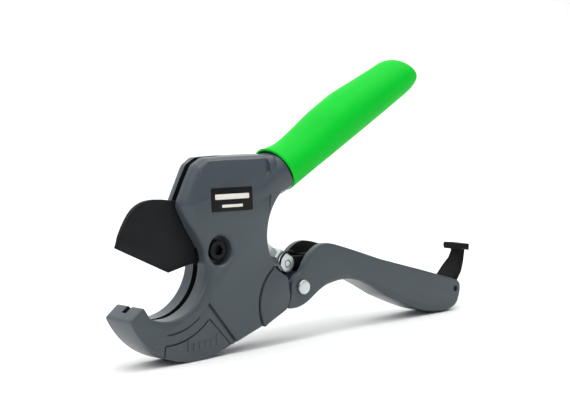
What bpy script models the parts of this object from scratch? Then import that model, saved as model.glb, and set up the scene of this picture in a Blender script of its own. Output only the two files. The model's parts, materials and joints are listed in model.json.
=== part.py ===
"""Ratchet cutter for plastic pipe, standing on the lower edge of its jaw and the heel of its lever.

X runs along the tool from the jaw to the handles, Y through its thickness and Z upwards.
Every size is in millimetres and measured from the blade's pivot, which is the design's zero
point. The last step moves the root empty so that the origin is under the middle of the tool.
"""
import math

import bmesh
import bpy
from mathutils import Vector

MM = 0.001

# Fits shared by several pieces
GAP = 0.3                      # between two pieces that touch
RUN_GAP = 0.5                  # between two pieces that move past each other

# Jaw
PIPE_DIAMETER = 42.0
SEAT_SLACK = 0.5
SEAT_RADIUS = PIPE_DIAMETER / 2 + SEAT_SLACK
NOSE_WALL = 6.9                # from the blade's pivot to the back of the seat
SEAT_CENTER = (-SEAT_RADIUS - NOSE_WALL, -4.4)
JAW_WALL = 15.7
JAW_BACK_CENTER = (-14.9, -7.6)
JAW_BACK_RADIUS = SEAT_RADIUS + JAW_WALL
TIP_HOOK = 2.3                 # the jaw's tip reaches this far inside the seat's circle
TIP_ANGLE = -133.1

# Frame body
FRAME_HALF = 9.0               # half of the casting's thickness
KNUCKLE_HALF = FRAME_HALF + 0.6    # the round boss beside the lever stands a little prouder
KNUCKLE_CENTER = (39.0, -27.0)
KNUCKLE_RADIUS = 18.6
WAIST_CENTER = (50.6, 2.4)     # hollow behind the blade's pivot
WAIST_RADIUS = 24.0
JAW_STEP = 0.7                 # the jaw's faces lie this much below the body's
BODY_TOP = 38.9

# Blade and its pivot
BLADE_HALF = 1.1
BLADE_PLAY = 0.4               # on each side of the blade in the frame's slot
SLOT_HALF = BLADE_HALF + BLADE_PLAY
BLADE_TIP = (SEAT_CENTER[0] - 20.2, 5.9)
BLADE_KNEE = (SEAT_CENTER[0] + 6.8, -7.5)
HUB_RADIUS = 8.8
SECTOR_RADIUS = 24.0
TOOTH_DEPTH = 1.2
SECTOR_START = -60.0
SECTOR_END = 95.0
TEETH = 30
BLADE_CLOSE = 46.0             # turns this far on from the modelled position, to the cut's end
BOLT_RADIUS = 2.85
BOLT_HEAD_RADIUS = 4.4
BOLT_HEAD_HEIGHT = 2.9
BOLT_SOCKET_WIDTH = 4.0
BOLT_SOCKET_DEPTH = 1.9
COUNTERBORE_RADIUS = 6.5
COUNTERBORE_DEPTH = 5.0
BUSH_WALL = 1.45
WASHER_RADIUS = 8.0
WASHER_THICKNESS = 0.8
NUT_WIDTH = 10.0
NUT_HEIGHT = 3.4

# Lever handle
HANDLE_PIVOT = (44.9, -21.2)
HANDLE_HALF = FRAME_HALF
CHEEK_WALL = 3.0
CHANNEL_HALF = HANDLE_HALF - CHEEK_WALL
CHEEK_LUG_RADIUS = 6.3
SPRING_ROOM = 3.2              # between a cheek and the frame's lug
LUG_HALF = CHANNEL_HALF - SPRING_ROOM
WEB = 2.6
HEEL_Z = JAW_BACK_CENTER[1] - JAW_BACK_RADIUS
PIVOT_PIN_RADIUS = 2.4
PIVOT_HEAD_RADIUS = PIVOT_PIN_RADIUS + 0.8
PIVOT_HEAD_HEIGHT = 1.5
PIVOT_BUSH_WALL = 1.2
CLIP_THICKNESS = 0.8
CLIP_RADIUS = PIVOT_PIN_RADIUS + 1.8
CLIP_MOUTH = 2.6
RETURN_WIRE = 0.9

# Drive pawl
DRIVE_PIN = (41.0, -11.0)
DRIVE_PIN_RADIUS = 1.4
DRIVE_HUB_RADIUS = 3.9
TONGUE_HALF = 1.8
TONGUE_HUB_RADIUS = 3.6
DRIVE_CHEEK = 2.0
FORK_INNER = TONGUE_HALF + 0.4
FORK_OUTER = FORK_INNER + DRIVE_CHEEK
ARCH_WIRE = 0.9                # the wire spring beside the fork
ARCH_RADIUS = 5.4
ARCH_Y = -FORK_OUTER - 0.55 - ARCH_WIRE / 2
POCKET_REACH = 21.0            # the pawl's room in the knuckle, from the lever's axis
DRIVE_NOSE = (29.9, 0.05)

# Holding pawl
HOLD_PIN = (24.3, 13.9)
HOLD_PIN_RADIUS = 1.1
HOLD_HUB_RADIUS = 2.4
HOLD_NOSE = (15.0, 19.9)
HOLD_PIN_SEAT = 3.3            # the pin goes this far into each side of the casting
HOLD_WIRE = 0.4
HOLD_COIL_RADIUS = 0.85

# Grip on the tang
GRIP_BASE = (43.65, 19.73)       # lower corner of the sleeve's rim
GRIP_ANGLE = 27.1
GRIP_LENGTH = 90.6
GRIP_END_WALL = 20.8
TANG_LENGTH = GRIP_LENGTH - GRIP_END_WALL
TANG_LOW = 5.6
TANG_HIGH = 15.6
TANG_HALF = 5.0

# Name plate
PLATE_CENTER = (7.4, 20.8)
PLATE_WIDTH = 22.4
PLATE_HEIGHT = 10.0
PLATE_TILT = -3.0
PLATE_THICKNESS = 0.5

# Latch
LATCH_PIN = (140.7, HEEL_Z + 10.2)
LATCH_PIN_RADIUS = 1.2
LATCH_HUB_RADIUS = 3.1
LATCH_BASE_HALF = CHANNEL_HALF - 0.7
LATCH_HEAD_HALF = 5.6


# ---------------------------------------------------------------- shapes

def polar(center, radius, degrees):
    """A point at a distance and an angle, counter-clockwise from +X, from a centre."""
    angle = math.radians(degrees)
    return (center[0] + radius * math.cos(angle), center[1] + radius * math.sin(angle))


def arc(center, radius, start, end, steps):
    """Points along an arc, both ends included."""
    return [polar(center, radius, start + (end - start) * i / steps) for i in range(steps + 1)]


def finish_mesh(name, bm, material, smooth_angle=35.0):
    """Turns a bmesh in millimetres into a named object with outward faces and its material."""
    bmesh.ops.recalc_face_normals(bm, faces=bm.faces)
    bmesh.ops.scale(bm, vec=(MM, MM, MM), verts=bm.verts)
    mesh = bpy.data.meshes.new(name)
    bm.to_mesh(mesh)
    bm.free()
    mesh.shade_smooth()
    mesh.set_sharp_from_angle(angle=math.radians(smooth_angle))
    obj = bpy.data.objects.new(name, mesh)
    bpy.context.scene.collection.objects.link(obj)
    if material:
        mesh.materials.append(material)
    return obj


def stack(name, rings, material=None):
    """A closed solid through rings of equally many points, with both end rings capped."""
    bm = bmesh.new()
    levels = [[bm.verts.new(point) for point in ring] for ring in rings]
    count = len(rings[0])
    for lower, upper in zip(levels, levels[1:]):
        for i in range(count):
            j = (i + 1) % count
            bm.faces.new((lower[i], lower[j], upper[j], upper[i]))
    bm.faces.new(levels[0])
    bm.faces.new(reversed(levels[-1]))
    return finish_mesh(name, bm, material)


def prism(name, outline, y_low, y_high, material=None, bevel=0.0):
    """An XZ outline pulled through Y, with its two rims chamfered by the bevel."""
    layers = [(y_low, 0.0), (y_high, 0.0)]
    if bevel:
        layers = [(y_low, bevel), (y_low + bevel, 0.0), (y_high - bevel, 0.0), (y_high, bevel)]
    rings = []
    for y, inset in layers:
        rings.append([(x, y, z) for x, z in offset(outline, [inset] * len(outline))])
    return stack(name, rings, material)


def offset(outline, insets):
    """Moves each point of a counter-clockwise outline inwards by its own distance."""
    moved = []
    count = len(outline)
    for i, (x, z) in enumerate(outline):
        before = Vector(outline[i - 1])
        after = Vector(outline[(i + 1) % count])
        here = Vector((x, z))
        first = (here - before).normalized()
        second = (after - here).normalized()
        along = (first + second).normalized()
        inward = Vector((-along.y, along.x))
        stretch = 1.0 / max(0.6, inward.dot(Vector((-first.y, first.x))))
        here = here + inward * insets[i] * stretch
        moved.append((here.x, here.y))
    return moved


def rod(name, center, radius, y_low, y_high, material=None, sides=32, bevel=0.0):
    """A round bar along Y."""
    return prism(name, arc(center, radius, 0, 360 - 360 / sides, sides - 1), y_low, y_high, material, bevel)


def hexagon(center, across_flats):
    """Six corners round a centre, from the width across the flats."""
    return arc(center, across_flats / 2 / math.cos(math.radians(30)), 0, 300, 5)


def coil(name, center, radius, wire, y_low, turns, pitch, material, sides=6, steps=20):
    """A helix of round wire about an axis along Y, with flat capped ends."""
    rings = []
    total = int(turns * steps)
    for i in range(total + 1):
        angle = 2 * math.pi * i / steps
        y = y_low + pitch * i / steps
        ring = []
        for k in range(sides):
            turn = 2 * math.pi * k / sides
            reach = radius + wire / 2 * math.cos(turn)
            ring.append((center[0] + reach * math.cos(angle), y + wire / 2 * math.sin(turn),
                         center[1] + reach * math.sin(angle)))
        rings.append(ring)
    return stack(name, rings, material)


def wire(name, path, radius, material, sides=8):
    """A round wire along a path of (x, y, z) points that all have the same y."""
    rings = []
    points = [Vector(p) for p in path]
    for i, point in enumerate(points):
        ahead = points[min(i + 1, len(points) - 1)]
        behind = points[max(i - 1, 0)]
        along = (ahead - behind).normalized()
        across = Vector((-along.z, 0.0, along.x))
        ring = []
        for k in range(sides):
            turn = 2 * math.pi * k / sides
            ring.append(point + (across * math.cos(turn) + Vector((0, 1, 0)) * math.sin(turn)) * radius)
        rings.append(ring)
    return stack(name, rings, material)


def combine(target, tools, operation):
    """Joins hidden tool solids to a target, or cuts them out of it."""
    for tool in tools:
        tool.hide_render = True
        tool.display_type = "WIRE"
        modifier = target.modifiers.new(operation.lower() + "_" + tool.name, "BOOLEAN")
        modifier.operation = operation
        modifier.solver = "EXACT"
        modifier.object = tool


def paint(name, color, roughness, metallic):
    """A Principled material with a plain colour, roughness and metallic value."""
    material = bpy.data.materials.new(name)
    material.use_nodes = True
    shader = material.node_tree.nodes["Principled BSDF"]
    shader.inputs["Base Color"].default_value = (*color, 1.0)
    shader.inputs["Roughness"].default_value = roughness
    shader.inputs["Metallic"].default_value = metallic
    material.diffuse_color = (*color, 1.0)
    return material


def axis_empty(name, point, root):
    """An empty on a joint's axis, which carries the pieces that turn on it."""
    empty = bpy.data.objects.new(name, None)
    bpy.context.scene.collection.objects.link(empty)
    empty.location = (point[0] * MM, 0.0, point[1] * MM)
    empty.parent = root
    return empty


# ---------------------------------------------------------------- frame

def gap_outline():
    """The frame's edge beside the lever's cheeks, from the bottom up."""
    reach = CHEEK_LUG_RADIUS + 0.7
    lower = [(HANDLE_PIVOT[0] - 9.9, HANDLE_PIVOT[1] - 8.7), (HANDLE_PIVOT[0] - 8.1, HANDLE_PIVOT[1] - 5.6)]
    return lower + arc(HANDLE_PIVOT, reach, 200, 137, 7)


def frame_points():
    """The casting's outline with the width of the rounding at each point."""
    points = []

    def add(stretch, width):
        points.extend((x, z, width) for x, z in stretch)

    add(arc(JAW_BACK_CENTER, JAW_BACK_RADIUS, 205, 285, 20), 0.9)
    add([(7.5, -39.9), (22.9, -35.0)], 0.9)
    add(gap_outline(), 0.5)
    add([(37.0, -14.5), (31.4, -12.2)], 0.7)
    add(arc(WAIST_CENTER, WAIST_RADIUS, 214, 116, 16), 1.3)
    add([grip_point(-2.0, 15.5)], 2.5)
    add([(33.5, 37.1)], 4.0)
    add([(20.0, BODY_TOP - 0.9), (6.0, BODY_TOP - 0.2), (-4.0, BODY_TOP)], 5.0)
    add([(-9.2, 36.3)], 6.0)
    add([(-12.8, 30.3), (-17.2, 22.2)], 7.5)
    add([(-17.9, 19.8)], 7.0)
    add([(-13.2, 10.3)], 3.4)
    add([(-9.4, 4.4)], 1.4)
    add(arc(SEAT_CENTER, SEAT_RADIUS, 12, -117, 26), 0.8)
    add([polar(SEAT_CENTER, SEAT_RADIUS - TIP_HOOK, TIP_ANGLE)], 0.5)
    return points


def grip_point(along, up):
    """A point from the grip's lower rim corner, along the grip and square to it."""
    angle = math.radians(GRIP_ANGLE)
    return (GRIP_BASE[0] + along * math.cos(angle) - up * math.sin(angle),
            GRIP_BASE[1] + along * math.sin(angle) + up * math.cos(angle))


def rounded_body(name, points, half, material):
    """The outline as a slab whose rims are rounded by each point's own width."""
    outline = [(x, z) for x, z, _ in points]
    steps = 3
    layers = []
    for side in (-1, 1):
        turns = range(steps, -1, -1) if side < 0 else range(steps + 1)
        for k in turns:
            angle = math.pi / 2 * k / steps
            insets = [width * (1 - math.cos(angle)) for _, _, width in points]
            ring = []
            for (x, z), (_, _, width) in zip(offset(outline, insets), points):
                depth = min(width * 0.95, half - SLOT_HALF - 1.2)
                ring.append((x, side * (half - depth * (1 - math.sin(angle))), z))
            layers.append(ring)
    return stack(name, layers, material)


def knuckle_outline():
    """The round boss that meets the lever, bounded by the frame's own edge."""
    boss = arc(KNUCKLE_CENTER, KNUCKLE_RADIUS, 122, 208, 14)
    return boss + [(24.9, -34.4)] + gap_outline() + [(37.0, -14.8)]


def slot_outline():
    """The space that the blade sweeps, with the room for both pawls."""
    reach = math.hypot(*BLADE_TIP) + 0.9
    tip_angle = math.degrees(math.atan2(BLADE_TIP[1], BLADE_TIP[0])) + BLADE_CLOSE
    knee_angle = math.degrees(math.atan2(BLADE_KNEE[1], BLADE_KNEE[0])) % 360 + BLADE_CLOSE
    knee_reach = math.hypot(*BLADE_KNEE) + 1.2
    sector = SECTOR_RADIUS + 0.6
    points = arc((0, 0), reach, 190, tip_angle + 1.5, 8)
    points += [polar((0, 0), knee_reach, knee_angle + 1.0)]
    points += arc((0, 0), sector, 260, 322, 8)
    points += [(30.0, -14.2), (46.0, -14.2), (46.0, 7.0), (24.2, 7.0)]
    points += [(27.0, 12.2), (27.2, 15.6), (25.8, 20.6), (22.8, 24.8), (17.6, 25.4)]
    points += [(12.4, 24.6), (9.0, 33.0), (7.4, 45.0), (-70.0, 45.0), (-70.0, -8.0)]
    return points


def drive_pocket():
    """The room in the knuckle for the drive pawl as the lever carries it round."""
    inner = arc(HANDLE_PIVOT, CHEEK_LUG_RADIUS + RUN_GAP, 182, 60, 12)
    outer = arc(HANDLE_PIVOT, POCKET_REACH, 60, 182, 16)
    return inner + outer


def jaw_step_outline():
    """The jaw's side face, left of the slanting step down from the body."""
    return [(-60.0, -60.0), (22.0, -60.0), (7.5, -39.8), (-7.1, -21.2), (-4.5, -8.0), (-60.0, -8.0)]


def make_frame(material):
    frame = rounded_body("frame_casting", frame_points(), FRAME_HALF, material)
    lug = arc(HANDLE_PIVOT, CHEEK_LUG_RADIUS, -120, 100, 18) + [(32.0, -15.0), (32.0, -26.0)]
    tang = [grip_point(-14, TANG_LOW), grip_point(TANG_LENGTH, TANG_LOW),
            grip_point(TANG_LENGTH, TANG_HIGH), grip_point(-14, TANG_HIGH)]
    collar = [grip_section(along, up, a, b, 20) for along, up, a, b in
              ((-11, 11, 6.0, 7.0), (-6, 11, 8.0, 9.2), (-2.5, 10.9, 9.0, 10.2), (-GAP, 10.9, 9.3, 10.6))]
    joined = [
        prism("tool_knuckle", knuckle_outline(), -KNUCKLE_HALF, KNUCKLE_HALF, bevel=0.4),
        prism("tool_lug", lug, -LUG_HALF, LUG_HALF),
        prism("tool_tang", tang, -TANG_HALF, TANG_HALF, bevel=0.8),
        stack("tool_collar", collar),
    ]
    combine(frame, joined, "UNION")

    through = FRAME_HALF + 11.0
    washer_reach = BLADE_HALF + WASHER_THICKNESS + 2 * GAP
    hold_reach = SLOT_HALF + HOLD_PIN_SEAT
    removed = [
        prism("tool_slot", slot_outline(), -SLOT_HALF, SLOT_HALF),
        prism("tool_pocket", drive_pocket(), ARCH_Y - ARCH_WIRE / 2 - RUN_GAP, FORK_OUTER + 0.9),
        rod("tool_washer_room", (0, 0), WASHER_RADIUS + GAP, -washer_reach, washer_reach),
        rod("tool_bolt_bore", (0, 0), BOLT_RADIUS + GAP, -through, through),
        rod("tool_counterbore", (0, 0), COUNTERBORE_RADIUS, -through, -FRAME_HALF + COUNTERBORE_DEPTH),
        prism("tool_nut_pocket", hexagon((0, 0), NUT_WIDTH + 2 * GAP), FRAME_HALF - NUT_HEIGHT - 2 * GAP,
              through),
        rod("tool_lug_bore", HANDLE_PIVOT, PIVOT_PIN_RADIUS + PIVOT_BUSH_WALL + 2 * GAP, -through, through),
        rod("tool_hold_bore", HOLD_PIN, HOLD_PIN_RADIUS + GAP, -hold_reach, hold_reach, sides=16),
        prism("tool_plate_room", plate_outline(GAP), -through, -FRAME_HALF + PLATE_THICKNESS + 0.35),
        prism("tool_step_near", jaw_step_outline(), -through, -FRAME_HALF + JAW_STEP),
        prism("tool_step_far", jaw_step_outline(), FRAME_HALF - JAW_STEP, through),
    ]
    combine(frame, removed, "DIFFERENCE")
    return frame, joined + removed


def plate_outline(margin):
    """The name plate's four corners, tilted with the frame's top edge."""
    turn = math.radians(PLATE_TILT)
    corners = []
    for sx, sz in ((-1, -1), (1, -1), (1, 1), (-1, 1)):
        x = sx * (PLATE_WIDTH / 2 + margin)
        z = sz * (PLATE_HEIGHT / 2 + margin)
        corners.append((PLATE_CENTER[0] + x * math.cos(turn) - z * math.sin(turn),
                        PLATE_CENTER[1] + x * math.sin(turn) + z * math.cos(turn)))
    return corners


# ---------------------------------------------------------------- grip

def grip_section(along, up, a, b, count):
    """An oval across the grip: a is half its height square to the grip, b half its width in Y."""
    ring = []
    for k in range(count):
        turn = 2 * math.pi * k / count
        x, z = grip_point(along, up + a * math.sin(turn))
        ring.append((x, b * math.cos(turn), z))
    return ring


GRIP_STATIONS = (
    # along, half height, half width, underside above the rim's corner
    (0.0, 10.6, 11.9, 0.7), (3.1, 10.1, 11.4, 0.7), (9.4, 9.3, 10.9, 0.7), (19.8, 9.6, 11.2, 0.7),
    (34.4, 10.3, 11.9, 0.7), (49.1, 10.4, 12.1, 0.7), (62.6, 9.6, 11.6, 0.7), (75.2, 9.0, 11.0, 0.7),
    (79.0, 8.8, 10.8, 0.7), (83.6, 8.25, 10.3, 1.0), (85.9, 7.42, 9.7, 1.4), (88.2, 5.9, 8.4, 2.1),
    (90.0, 3.6, 6.0, 3.3), (90.6, 1.5, 2.4, 4.6),
)


def make_grip(material):
    rings = []
    for along, a, b, lift in GRIP_STATIONS:
        scale = GRIP_LENGTH / GRIP_STATIONS[-1][0]
        rings.append(grip_section(along * scale, a + lift, a, b, 28))
    grip = stack("handle_grip", rings, material)
    low = TANG_LOW - GAP
    high = TANG_HIGH + GAP
    cavity = [grip_point(-5, low), grip_point(TANG_LENGTH + 2 * GAP, low),
              grip_point(TANG_LENGTH + 2 * GAP, high), grip_point(-5, high)]
    room = prism("tool_tang_room", cavity, -TANG_HALF - GAP, TANG_HALF + GAP)
    combine(grip, [room], "DIFFERENCE")
    return grip, [room]


# ---------------------------------------------------------------- blade

def blade_outline():
    """Tip, two-part edge, hub, toothed sector and curved back, counter-clockwise."""
    tip_x, tip_z = BLADE_TIP
    points = [BLADE_TIP, BLADE_KNEE, (-8.4, -5.1)]
    points += arc((0, 0), HUB_RADIUS, 222, 286, 6)
    pitch = (SECTOR_END - SECTOR_START) / TEETH
    for i in range(TEETH):
        angle = SECTOR_START + pitch * i
        points.append(polar((0, 0), SECTOR_RADIUS, angle))
        points.append(polar((0, 0), SECTOR_RADIUS - TOOTH_DEPTH, angle + 0.2))
    points += arc((0, 0), SECTOR_RADIUS - TOOTH_DEPTH, SECTOR_END, 112, 3)
    points += [(-17.9, 22.2), (tip_x + 20.3, tip_z + 17.8), (tip_x + 16.9, tip_z + 17.8),
               (tip_x + 11.9, tip_z + 16.4), (tip_x + 7.9, tip_z + 13.8), (tip_x + 4.2, tip_z + 8.7)]
    return points


def make_blade(material):
    blade = prism("blade", blade_outline(), -BLADE_HALF, BLADE_HALF, material)
    hole = rod("tool_blade_hole", (0, 0), BOLT_RADIUS + BUSH_WALL + 2 * GAP, -5, 5)
    combine(blade, [hole], "DIFFERENCE")
    return blade, [hole]


def make_blade_pivot(steel, black):
    """Bolt, nut, bush and two thrust washers."""
    floor = -FRAME_HALF + COUNTERBORE_DEPTH
    head_low = floor - GAP - BOLT_HEAD_HEIGHT
    bolt = rod("blade_pivot_bolt", (0, 0), BOLT_HEAD_RADIUS, head_low, floor - GAP, black, bevel=0.35)
    shank = rod("tool_bolt_shank", (0, 0), BOLT_RADIUS, floor - 1.5, FRAME_HALF - 0.4, sides=24)
    socket = prism("tool_bolt_socket", hexagon((0, 0), BOLT_SOCKET_WIDTH), head_low - 1,
                   head_low + BOLT_SOCKET_DEPTH)
    combine(bolt, [shank], "UNION")
    combine(bolt, [socket], "DIFFERENCE")
    nut_low = FRAME_HALF - NUT_HEIGHT - GAP
    nut = prism("blade_pivot_nut", hexagon((0, 0), NUT_WIDTH), nut_low, nut_low + NUT_HEIGHT, steel)
    nut_hole = rod("tool_nut_hole", (0, 0), BOLT_RADIUS + GAP, nut_low - 1, FRAME_HALF + 5, sides=24)
    combine(nut, [nut_hole], "DIFFERENCE")
    reach = BLADE_HALF + WASHER_THICKNESS + GAP
    bush = rod("blade_bush", (0, 0), BOLT_RADIUS + GAP + BUSH_WALL, -reach, reach, steel)
    bush_hole = rod("tool_bush_hole", (0, 0), BOLT_RADIUS + GAP, -10, 10, sides=24)
    combine(bush, [bush_hole], "DIFFERENCE")
    tools = [shank, socket, nut_hole, bush_hole]
    washers = []
    for side, place in ((-1, "near"), (1, "far")):
        low, high = sorted((side * (BLADE_HALF + GAP), side * (BLADE_HALF + GAP + WASHER_THICKNESS)))
        washer = rod("blade_washer_" + place, (0, 0), WASHER_RADIUS, low, high, steel)
        hole = rod("tool_washer_hole_" + place, (0, 0), BOLT_RADIUS + BUSH_WALL + 2 * GAP, -10, 10)
        combine(washer, [hole], "DIFFERENCE")
        washers.append(washer)
        tools.append(hole)
    return [bolt, nut, bush] + washers, tools


# ---------------------------------------------------------------- lever handle

def underside():
    """The lever's lower edge from the cheeks' front corner to the heel."""
    px, pz = HANDLE_PIVOT
    return [(px - 9.0, pz - 8.8), (px - 1.8, pz - 9.1), (px + 3.2, pz - 7.5), (px + 9.3, pz - 3.7),
            (px + 16.0, pz - 1.5), (px + 23.3, pz - 0.4), (px + 29.4, pz - 0.5), (px + 36.7, pz - 2.4),
            (px + 44.7, pz - 6.6), (px + 54.0, pz - 12.2), (111.6, HEEL_Z + 5.8), (121.3, HEEL_Z + 2.0),
            (129.5, HEEL_Z + 0.4), (134.5, HEEL_Z), (138.4, HEEL_Z + 0.6)]


def topside():
    """The lever's upper edge from the heel back to the cheeks' front."""
    px, pz = HANDLE_PIVOT
    return [(142.2, HEEL_Z + 2.8), (144.2, HEEL_Z + 7.4), (145.0, HEEL_Z + 11.4), (143.8, HEEL_Z + 13.6),
            (138.4, HEEL_Z + 15.5), (118.6, -22.9),
            (93.2, -15.0), (px + 32.6, pz + 12.0), (px + 22.1, pz + 15.7), (px + 17.2, pz + 17.2),
            (px + 13.2, pz + 17.5), (px + 9.6, pz + 16.7), (px + 5.3, pz + 14.0), (px + 2.2, pz + 10.5),
            (px - 0.2, pz + 6.1)]


def make_lever(material):
    front = arc(HANDLE_PIVOT, CHEEK_LUG_RADIUS, 112, 197, 9)
    lever = prism("lever_handle", underside() + topside() + front, -HANDLE_HALF, HANDLE_HALF, material,
                  bevel=0.8)
    floor = [(x, z + WEB) for x, z in underside()]
    floor = [(floor[0][0] - 5, floor[0][1] - 0.6)] + floor[1:]
    channel = floor + [(150.0, HEEL_Z + 5.0), (150.0, 20.0), (30.0, 20.0)]
    room = prism("tool_channel", channel, -CHANNEL_HALF, CHANNEL_HALF)
    lug_room = rod("tool_lug_room", HANDLE_PIVOT, CHEEK_LUG_RADIUS + RUN_GAP, -CHANNEL_HALF, CHANNEL_HALF)
    combine(lever, [room, lug_room], "DIFFERENCE")
    px, pz = HANDLE_PIVOT
    bridge = prism("tool_bridge", [(px + 8.5, pz + 6.6), (px + 15, pz + 6.6), (px + 15, pz + 12.5),
                                   (px + 9.0, pz + 12.5)], -CHANNEL_HALF - 1, CHANNEL_HALF + 1)
    dx, dz = DRIVE_PIN
    tongue_points = arc(DRIVE_PIN, TONGUE_HUB_RADIUS, 45, 250, 15)
    tongue_points += [(dx, dz - 2.4), (px + 10, dz - 2.4), (px + 10, dz + 1.5)]
    tongue = prism("tool_tongue", tongue_points, -TONGUE_HALF, TONGUE_HALF)
    combine(lever, [bridge, tongue], "UNION")
    pin_bore = rod("tool_lever_bore", HANDLE_PIVOT, PIVOT_PIN_RADIUS + GAP, -20, 20, sides=24)
    drive_bore = rod("tool_drive_bore", DRIVE_PIN, DRIVE_PIN_RADIUS + GAP, -10, 10, sides=20)
    latch_bore = rod("tool_latch_bore", LATCH_PIN, LATCH_PIN_RADIUS + GAP, -20, 20, sides=20)
    combine(lever, [pin_bore, drive_bore, latch_bore], "DIFFERENCE")
    return lever, [room, lug_room, bridge, tongue, pin_bore, drive_bore, latch_bore]


def make_handle_pivot(steel, spring_steel):
    """Headed pin, bush, clip and opening spring on the lever's axis."""
    near = -HANDLE_HALF - GAP
    far = HANDLE_HALF + GAP + CLIP_THICKNESS + 0.8
    pin = rod("handle_pivot_pin", HANDLE_PIVOT, PIVOT_HEAD_RADIUS, near - PIVOT_HEAD_HEIGHT, near, steel,
              bevel=0.4)
    shank = rod("tool_pin_shank", HANDLE_PIVOT, PIVOT_PIN_RADIUS, near - 0.7, far, sides=24)
    combine(pin, [shank], "UNION")
    bush_radius = PIVOT_PIN_RADIUS + GAP + PIVOT_BUSH_WALL
    reach = CHANNEL_HALF - RUN_GAP
    bush = rod("handle_pivot_bush", HANDLE_PIVOT, bush_radius, -reach, reach, steel)
    bush_hole = rod("tool_pivot_bush_hole", HANDLE_PIVOT, PIVOT_PIN_RADIUS + GAP, -20, 20, sides=24)
    combine(bush, [bush_hole], "DIFFERENCE")
    clip = rod("pin_retaining_clip", HANDLE_PIVOT, CLIP_RADIUS, HANDLE_HALF + GAP,
               HANDLE_HALF + GAP + CLIP_THICKNESS, steel)
    clip_hole = rod("tool_clip_hole", HANDLE_PIVOT, PIVOT_PIN_RADIUS + GAP, 0, 20, sides=24)
    px, pz = HANDLE_PIVOT
    left, right, below = px - CLIP_MOUTH / 2, px + CLIP_MOUTH / 2, pz - 2 * CLIP_RADIUS
    mouth = prism("tool_clip_mouth", [(left, below), (right, below), (right, pz), (left, pz)], 0, 20)
    combine(clip, [clip_hole, mouth], "DIFFERENCE")
    radius = bush_radius + GAP + RETURN_WIRE / 2
    start = -CHANNEL_HALF + RUN_GAP + RETURN_WIRE / 2
    spring = coil("handle_return_spring", HANDLE_PIVOT, radius, RETURN_WIRE, start, 1.3, 1.15, spring_steel)
    return [pin, bush, clip, spring], [shank, bush_hole, clip_hole, mouth]


# ---------------------------------------------------------------- pawls

def make_drive_pawl(steel, spring_steel):
    """A forked pawl on the lever's tongue, its thin nose reaching into the frame's slot."""
    nose = Vector(DRIVE_NOSE)
    pin = Vector(DRIVE_PIN)
    along = (nose - pin).normalized()
    up = Vector((along.y, -along.x))
    fork_end = pin + along * 7.6
    body = arc(DRIVE_PIN, DRIVE_HUB_RADIUS, -75, 45, 10)
    body += [tuple(fork_end + up * 2.3), tuple(fork_end - up * 2.3)]
    body += arc(DRIVE_PIN, DRIVE_HUB_RADIUS, 228, 262, 4)
    pawl = prism("drive_pawl", body, -FORK_OUTER, FORK_OUTER, steel, bevel=0.3)
    throat = arc(DRIVE_PIN, TONGUE_HUB_RADIUS + RUN_GAP, 0, 350, 35)
    throat_solid = prism("tool_throat", throat, -FORK_INNER, FORK_INNER)
    neck = [(pin.x, pin.y - 4.6), (pin.x + 9, pin.y - 6), (pin.x + 9, pin.y + 6), (pin.x, pin.y + 4.6)]
    neck_solid = prism("tool_throat_neck", neck, -FORK_INNER, FORK_INNER)
    combine(pawl, [throat_solid, neck_solid], "DIFFERENCE")
    start = pin + along * 5.6
    finger = [tuple(start + up * 1.9), tuple(nose + up * 0.7), tuple(nose),
              tuple(nose - up * 1.5 - along * 1.0), tuple(start - up * 1.9)]
    finger_solid = prism("tool_finger", list(reversed(finger)), -BLADE_HALF, BLADE_HALF)
    combine(pawl, [finger_solid], "UNION")
    bore = rod("tool_pawl_bore", DRIVE_PIN, DRIVE_PIN_RADIUS + GAP, -10, 10, sides=20)
    combine(pawl, [bore], "DIFFERENCE")
    pin_solid = rod("drive_pawl_pin", DRIVE_PIN, DRIVE_PIN_RADIUS, -FORK_OUTER, FORK_OUTER, steel, sides=20)
    arch = [(x, ARCH_Y, z) for x, z in arc(DRIVE_PIN, ARCH_RADIUS, 178, 58, 12)]
    spring = wire("drive_pawl_spring", arch, ARCH_WIRE / 2, spring_steel)
    return pawl, pin_solid, spring, [throat_solid, neck_solid, finger_solid, bore]


def make_holding_pawl(steel, spring_steel):
    """A strut in the slot whose nose stands over the teeth, its pin and its little coil."""
    nose = Vector(HOLD_NOSE)
    pin = Vector(HOLD_PIN)
    along = (nose - pin).normalized()
    out = Vector((along.y, -along.x))
    body = arc(HOLD_PIN, HOLD_HUB_RADIUS, -115, 40, 10)
    body += [tuple(pin + along * 5.0 + out * 1.9), tuple(nose + out * 1.2), tuple(nose - along * 0.2),
             tuple(pin + along * 5.0 - out * 0.1)]
    pawl = prism("holding_pawl", body, -BLADE_HALF, BLADE_HALF, steel)
    bore = rod("tool_hold_pawl_bore", HOLD_PIN, HOLD_PIN_RADIUS + GAP, -10, 10, sides=16)
    combine(pawl, [bore], "DIFFERENCE")
    reach = SLOT_HALF + HOLD_PIN_SEAT - GAP
    pin_solid = rod("holding_pawl_pin", HOLD_PIN, HOLD_PIN_RADIUS, -reach, reach, steel, sides=16)
    rings = []
    start = pin + along * 5.2 + out * 3.3
    turns, steps, sides, pitch = 3, 10, 6, 0.75
    for i in range(turns * steps + 1):
        angle = 2 * math.pi * i / steps
        base = start + out * (pitch * i / steps)
        ring = []
        for k in range(sides):
            turn = 2 * math.pi * k / sides
            reach_out = HOLD_COIL_RADIUS + HOLD_WIRE / 2 * math.cos(turn)
            rise = HOLD_WIRE / 2 * math.sin(turn)
            flat = base + along * (reach_out * math.cos(angle)) + out * rise
            ring.append((flat.x, reach_out * math.sin(angle), flat.y))
        rings.append(ring)
    spring = stack("holding_pawl_spring", rings, spring_steel)
    return pawl, pin_solid, spring, [bore]


# ---------------------------------------------------------------- latch

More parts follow.
